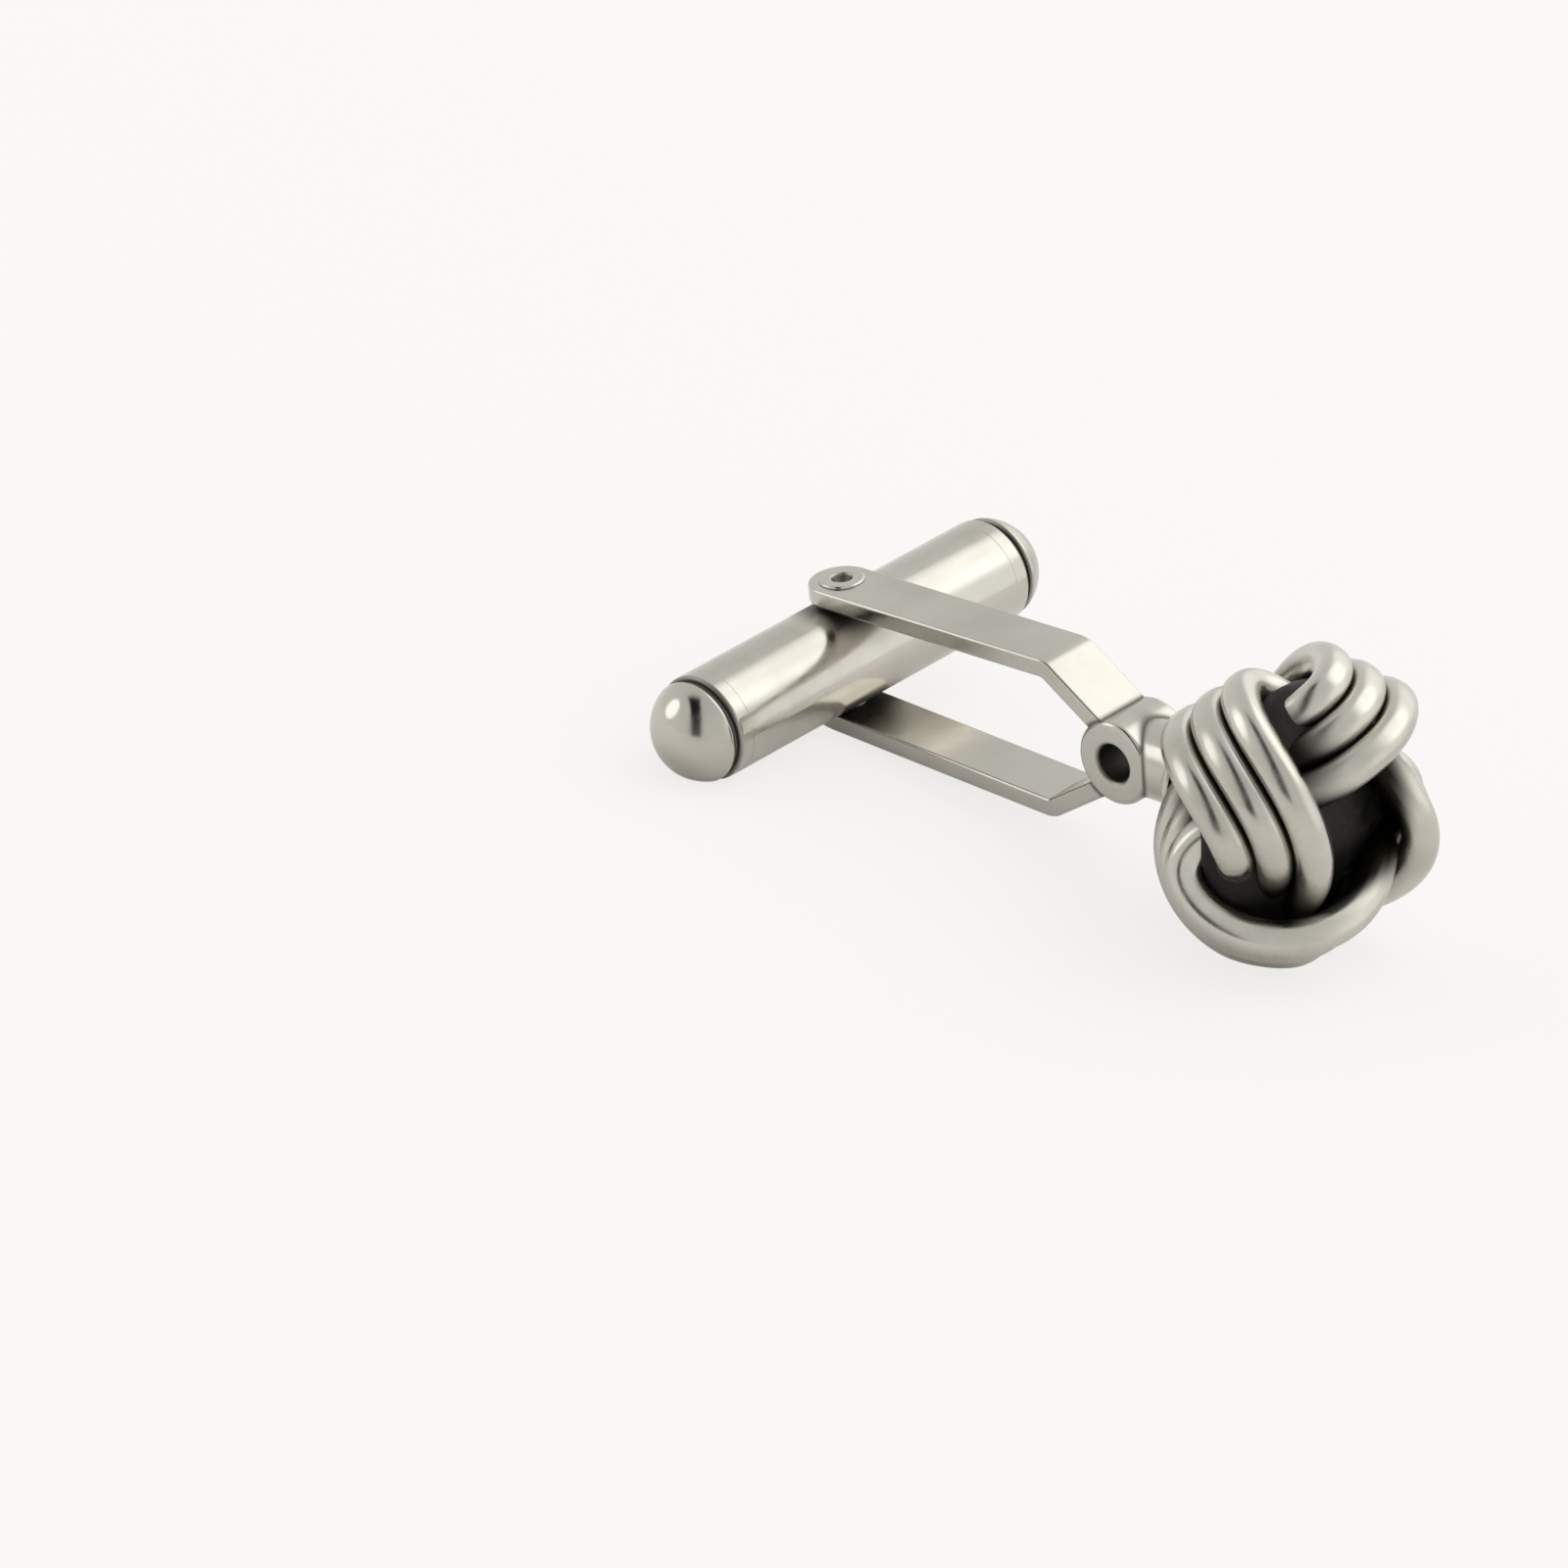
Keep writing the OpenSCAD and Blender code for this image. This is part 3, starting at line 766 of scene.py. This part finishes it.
# The bar's tube isn't a new piece, so its samples come from its plain shape
def tubeSamples(look, fork, bar):
    rows, sides, half = look["tubeRows"], look["tubeSides"], bar["tubeHalf"]
    y, a = np.meshgrid(np.linspace(-half, half, rows + 1), np.linspace(0, 2 * np.pi, sides, False), indexing="ij")
    out = np.stack([np.cos(a), 0 * a, np.sin(a)], -1)
    tube = out * bar["radius"] + np.stack([0 * a + fork["pivotX"], y, 0 * a], -1)
    area = np.full(a.size, 2 * half / rows * 2 * np.pi * bar["radius"] / sides)
    return np.column_stack([tube.reshape(-1, 3), out.reshape(-1, 3), area])


# Share of what a point faces that nearby metal closes off: the sum over samples of area times both cosines over pi
# times the distance squared, fading with distance
def closedOff(points, normals, samples, look):
    reach, batch = look["reach"], look["batch"]
    result = np.zeros(len(points), np.float32)
    for start in range(0, len(points), batch):
        p, n = points[start:start + batch], normals[start:start + batch]
        low, high = p.min(0) - look["window"] * reach, p.max(0) + look["window"] * reach
        near = samples[((samples[:, :3] > low) & (samples[:, :3] < high)).all(1)]
        middle, facing, area = near[:, :3], near[:, 3:6], near[:, 6]
        square = np.maximum((p ** 2).sum(1)[:, None] + (middle ** 2).sum(1) - 2 * p @ middle.T, 0)
        square = square + look["soften"] * area
        leaving = np.maximum(n @ middle.T - (p * n).sum(1)[:, None], 0)
        arriving = np.maximum(p @ facing.T - (middle * facing).sum(1), 0)
        form = area * leaving * arriving / (square * (np.pi * square + area))
        result[start:start + batch] = (form * np.exp(-square / reach ** 2)).sum(1)
    return result


# Distance from each point to where its piece is soldered to another or lies on it, from their own formulas: the
# knuckle's and the bar's cylinders for an arm, an arm's slab and the post's neck for the knuckle
def jointGap(name, points, fork, post, bar):
    x, y, z = points.T
    toKnuckle = np.abs(np.hypot(x - fork["kneeX"], z) - fork["knuckleR"])
    if name == "turnedPost":
        return toKnuckle
    if name in ("armUpper", "armLower"):
        return np.minimum(toKnuckle, np.abs(np.hypot(x - fork["pivotX"], z) - bar["radius"]))
    if name == "knuckleTube":
        line = armLine(fork)
        off = (np.stack([x - fork["pivotX"], np.abs(z)], 1) - line["foot"]) @ line["dropAcross"]
        pastFace = np.maximum(np.abs(off) - fork["armThick"] / 2, 0)
        pastSide = np.maximum(np.abs(y) - fork["armWidth"] / 2, 0)
        toPost = np.hypot(y, z) - post["neckR"]
        return np.hypot(np.where(x < fork["kneeX"], np.hypot(pastFace, pastSide), toPost), toKnuckle)
    return np.full(len(points), farAway)


# Places and normals of a mesh's points, in millimetres
def pointsOf(mesh):
    points, normals = np.empty(len(mesh.vertices) * 3, np.float32), np.empty(len(mesh.vertices) * 3, np.float32)
    mesh.vertices.foreach_get("co", points)
    mesh.vertex_normals.foreach_get("vector", normals)
    return points.reshape(-1, 3) / mm, normals.reshape(-1, 3)


# A wire gets painted shade where it runs between others and deep in the knot: by how much of the open half round is
# closed off, and by how far out it is, as a share of the knot's outer flattened ball
def wireShade(look, knot, points, normals, samples):
    grid = (knot["rings"], knot["sides"], 3)
    pick = np.s_[::knot["ringStride"], ::knot["sideStride"]]
    points, normals = (part.reshape(grid)[pick].reshape(-1, 3) for part in (points, normals))
    dark = eased(fade(closedOff(points, normals, samples, look), look["wireBegins"], look["wireFull"]))
    ball = np.array([knot["weaveHalfDepth"], knot["weaveR"], knot["weaveR"]])
    out = np.linalg.norm((points - knotMid) / (knot["lift"] + knot["wire"] / 2 + ball), axis=1)
    dark = np.maximum(dark, eased(fade(out, look["hollowBegins"], look["hollowFull"])))
    return spreadOut(dark.reshape(knot["rings"] // knot["ringStride"], -1), *grid[:2]).reshape(-1)


# Every piece gets painted shade where nearby metal closes it off and in its own creases, and dark joint lines
def addShadeAndJoints(look, counts, fork, knot, post, bar):
    parts = [faceSamples(newPieces[name].data, count) for name, count in counts.items()]
    samples = np.concatenate([tubeSamples(look, fork, bar), *parts]).astype(np.float32)
    for name in counts:
        mesh = newPieces[name].data
        points, normals = pointsOf(mesh)
        if name in wireNames:
            dark = wireShade(look, knot, points, normals, samples)
        else:
            dark = eased(fade(closedOff(points, normals, samples, look), look["begins"], look["full"]))
            joint = np.exp(-(jointGap(name, points, fork, post, bar) / look["joint"]) ** 2)
            dark = np.maximum(dark, look["jointDark"] * joint)
        if "crease" in mesh.attributes:
            crease = np.empty(len(mesh.vertices))
            mesh.attributes["crease"].data.foreach_get("value", crease)
            dark = np.maximum(dark, crease)
        # the point attribute holds the painted shade and the dark joint lines
        mesh.attributes.new("shadeAndJoints", "FLOAT", "POINT").data.foreach_set("value", dark.astype(np.float32))


# how many of its faces stand for each piece
sampleCounts = {**{name: 960 for name in wireNames}, "knotCore": 3000, "armUpper": 3000, "armLower": 3000,
                "knuckleTube": 3400, "turnedPost": 3600, "pivotPin": 1500, "capFar": 700, "capNear": 700}
addShadeAndJoints(shadeAndJointLook, sampleCounts, forkSizes, knotSizes, postSizes, barSizes)
# the painted shade and the joint lines are laid
print("oxide laid")

nodeFinishes = {
    "bar_tube": tubeSilverArmShade,
    "spring_head_side": springSteel,
    "spring_free_side": springSteel,
}
for node, finish in nodeFinishes.items():
    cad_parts[node].data.materials.clear()
    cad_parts[node].data.materials.append(finish)

viewSizes = {
    "up": (-0.2680, 0.3780, 0.8860),
    "toward": (0.6240, -0.6330, 0.4590),
    "distance": 400,
    "pixelsPerMm": 28.2,
    "pivotPixel": (864, 661.5),
    "frame": 1600,  # pixels of the whole picture, which the two values above count in
    "sensor": 36,
    "clipStart": 0.01,
}


# The camera looks along the view from its distance, moved so that the pivot falls on its pixel
def placeCamera(view, pivot):
    toward = unitRows(np.array(view["toward"]))
    right = unitRows(np.cross(view["up"], toward))
    up = np.cross(toward, right)
    offset = (view["frame"] / 2 - np.array(view["pivotPixel"])) / view["pixelsPerMm"]
    place = (pivot + offset[0] * right - offset[1] * up + view["distance"] * toward) * mm
    camera = bpy.data.objects.new("camera", bpy.data.cameras.new("camera"))
    bpy.context.scene.collection.objects.link(camera)
    turn = Matrix([list(row) for row in np.stack([right, up, toward], 1)]).to_4x4()
    camera.matrix_world = Matrix.Translation(Vector(place)) @ turn
    camera.data.sensor_width = view["sensor"]
    camera.data.lens = view["sensor"] * view["pixelsPerMm"] * view["distance"] / view["frame"]
    camera.data.clip_start = view["clipStart"]
    bpy.context.scene.camera = camera
    return right, up, toward


pivot = np.array([forkSizes["pivotX"], 0, 0])
right, up, toward = placeCamera(viewSizes, pivot)

studio = {
    "background": (0.985, 0.968, 0.958),
    "floorSize": 3.0,
    "floorColour": (0.95, 0.935, 0.925),
    "floorGrain": 900,
    "floorDarker": 0.985,  # the paper's grain, as a share of its colour
    "floorRough": 0.9,
    "floorShine": 0.1,
    "floorGlow": 0.80,   # share of the floor's own colour that the camera sees, the rest being lit and shadowed
    "glossyGlow": 0.12,  # the same for what the metal shows of the floor
}


# The floor is the plane that the cufflink rests on: under the knot, the lower rivet and the near end of the bar
def floorPlane():
    wireLow = min(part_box("knot_wire_" + letter)[0].z for letter in wireLetters)
    knotFoot = Vector((knotMid[0] * mm, 0, wireLow))
    rivetFoot = Vector((pivot[0] * mm, 0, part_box("pivot_pin")[0].z))
    barFoot = Vector((pivot[0] * mm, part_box("cap_near")[1].y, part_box("cap_near")[0].z))
    normal = (knotFoot - rivetFoot).cross(barFoot - rivetFoot).normalized()
    if normal.z < 0:
        normal.negate()
    return rivetFoot, normal


def emission(tree, colour):
    node = addNode(tree, "ShaderNodeEmission")
    node.inputs["Color"].default_value = (*colour, 1)
    node.inputs["Strength"].default_value = 1.0
    return node


def times(tree, a, b):
    node = addNode(tree, "ShaderNodeMath", operation="MULTIPLY")
    link(tree, a, node.inputs[0])
    if isinstance(b, float):
        node.inputs[1].default_value = b
    else:
        link(tree, b, node.inputs[1])
    return node.outputs[0]


def plus(tree, a, b):
    node = addNode(tree, "ShaderNodeMath", operation="ADD")
    link(tree, a, node.inputs[0])
    link(tree, b, node.inputs[1])
    return node.outputs[0]


def mixShaders(tree, factor, first, second):
    node = addNode(tree, "ShaderNodeMixShader")
    link(tree, factor, node.inputs[0])
    link(tree, first, node.inputs[1])
    link(tree, second, node.inputs[2])
    return node.outputs[0]


# Paper that is lit and shadowed, glows a little in its own colour for the camera and the metal, and isn't there from
# below
def addFloor(studio):
    rest, normal = floorPlane()
    mesh = bpy.data.meshes.new("floor")
    h = studio["floorSize"] / 2
    mesh.from_pydata([(-h, -h, 0), (h, -h, 0), (h, h, 0), (-h, h, 0)], [], [(0, 1, 2, 3)])
    turn = Vector((0, 0, 1)).rotation_difference(normal).to_matrix().to_4x4()
    mesh.transform(Matrix.Translation(rest) @ turn)
    floor = bpy.data.objects.new("floor", mesh)
    bpy.context.scene.collection.objects.link(floor)
    finish, tree, shader = newFinish("paper")
    grain = noise(tree, objectCoordinates(tree), studio["floorGrain"], detail=3)
    darker = tuple(c * studio["floorDarker"] for c in studio["floorColour"])
    link(tree, mixColour(tree, grain, studio["floorColour"], darker), shader.inputs["Base Color"])
    shader.inputs["Roughness"].default_value = studio["floorRough"]
    shader.inputs["Specular IOR Level"].default_value = studio["floorShine"]
    rays = addNode(tree, "ShaderNodeLightPath")
    shown = plus(tree, times(tree, rays.outputs["Is Camera Ray"], studio["floorGlow"]),
                 times(tree, rays.outputs["Is Glossy Ray"], studio["glossyGlow"]))
    lit = mixShaders(tree, shown, shader.outputs[0], emission(tree, studio["background"]).outputs[0])
    below = addNode(tree, "ShaderNodeNewGeometry").outputs["Backfacing"]
    gone = addNode(tree, "ShaderNodeBsdfTransparent").outputs[0]
    link(tree, mixShaders(tree, below, lit, gone), tree.nodes["Material Output"].inputs["Surface"])
    mesh.materials.append(finish)


tentSizes = {
    "radius": 0.9,
    "divisions": 4,
    "colour": (1.0, 0.995, 0.98),
    "heights": (0.25, 0.95),
    "clothLow": 0.78,
    "clothHigh": 0.71,
    # the slit: how far to the camera's right its two sides lie, how far forward it begins and how far up it ends
    "slitLeft": (-0.56, -0.48),
    "slitRight": (-0.14, -0.22),
    "slitFront": (0.1, 0.4),
    "slitTop": (0.95, 0.78),
    "slitDark": 0.985,
    # glows: direction, degrees from it where each begins and is full, and strength
    "glows": [
        ((0.30, 0.63, 0.70), 33, 13, 0.92),   # bright panel high behind the cufflink
        ((0.78, 0.60, 0.15), 48, 12, 0.38),   # wide soft glow low to the right of it
        ((-0.12, 0.93, 0.35), 33, 10, 0.45),  # smaller one behind it
    ],
}


# The light tent is a wide ball round the scene: pale cloth with a dark upright slit by the camera, and soft glows.
# Each of them is a smooth step of the cosine between a point's direction and its own
def addTent(tent, right, up, toward):
    mesh = bpy.data.meshes.new("tent")
    ball = bmesh.new()
    bmesh.ops.create_icosphere(ball, subdivisions=tent["divisions"], radius=tent["radius"])
    ball.to_mesh(mesh)
    ball.free()
    thing = bpy.data.objects.new("tent", mesh)
    bpy.context.scene.collection.objects.link(thing)
    thing.visible_camera = False
    thing.visible_shadow = False
    finish, tree, shader = newFinish("tentCloth")
    tree.nodes.remove(shader)
    direction = addNode(tree, "ShaderNodeVectorMath", operation="NORMALIZE")
    link(tree, objectCoordinates(tree), direction.inputs[0])

    def facing(axis):
        dot = addNode(tree, "ShaderNodeVectorMath", operation="DOT_PRODUCT")
        link(tree, direction.outputs[0], dot.inputs[0])
        dot.inputs[1].default_value = tuple(axis)
        return dot.outputs["Value"]

    def stepped(axis, unseen, full):
        if unseen < full:
            return remap(tree, facing(axis), unseen, full, 0, 1)
        return remap(tree, facing(axis), full, unseen, 1, 0)

    cloth = remap(tree, facing((0, 0, 1)), *tent["heights"], tent["clothLow"], tent["clothHigh"])
    sides = times(tree, stepped(right, *tent["slitLeft"]), stepped(right, *tent["slitRight"]))
    slit = times(tree, sides, times(tree, stepped(toward, *tent["slitFront"]), stepped(up, *tent["slitTop"])))
    keep = addNode(tree, "ShaderNodeMath", operation="SUBTRACT")
    keep.inputs[0].default_value = 1.0
    link(tree, times(tree, slit, tent["slitDark"]), keep.inputs[1])
    total = times(tree, cloth, keep.outputs[0])
    for axis, unseenDeg, fullDeg, strength in tent["glows"]:
        unseen, full = np.cos(np.radians([unseenDeg, fullDeg]))
        total = plus(tree, total, times(tree, stepped(unitRows(np.array(axis)), unseen, full), strength))
    light = emission(tree, tent["colour"])
    link(tree, total, light.inputs["Strength"])
    link(tree, light.outputs[0], tree.nodes["Material Output"].inputs["Surface"])
    mesh.materials.append(finish)


addFloor(studio)
addTent(tentSizes, right, up, toward)

softboxSizes = {
    "from": (-0.71, -0.49, 0.50),
    "aim": (-7, 0, 0),
    "distance": 0.5,
    "size": 0.28,
    "watts": 0.18,
}


def addSoftbox(box):
    lamp = bpy.data.lights.new("softbox", "AREA")
    lamp.shape = "DISK"
    lamp.energy = box["watts"]
    lamp.size = box["size"]
    thing = bpy.data.objects.new("softbox", lamp)
    bpy.context.scene.collection.objects.link(thing)
    aim = Vector(box["aim"]) * mm
    place = aim + Vector(box["from"]).normalized() * box["distance"]
    thing.location = place
    thing.rotation_euler = (aim - place).to_track_quat("-Z", "Y").to_euler()


addSoftbox(softboxSizes)

world = bpy.data.worlds.new("studio")
bpy.context.scene.world = world
world.use_nodes = True
world.node_tree.nodes["Background"].inputs["Color"].default_value = (*studio["background"], 1)
world.node_tree.nodes["Background"].inputs["Strength"].default_value = 1.0

bpy.context.scene.view_settings.view_transform = "Standard"
print("studio set")
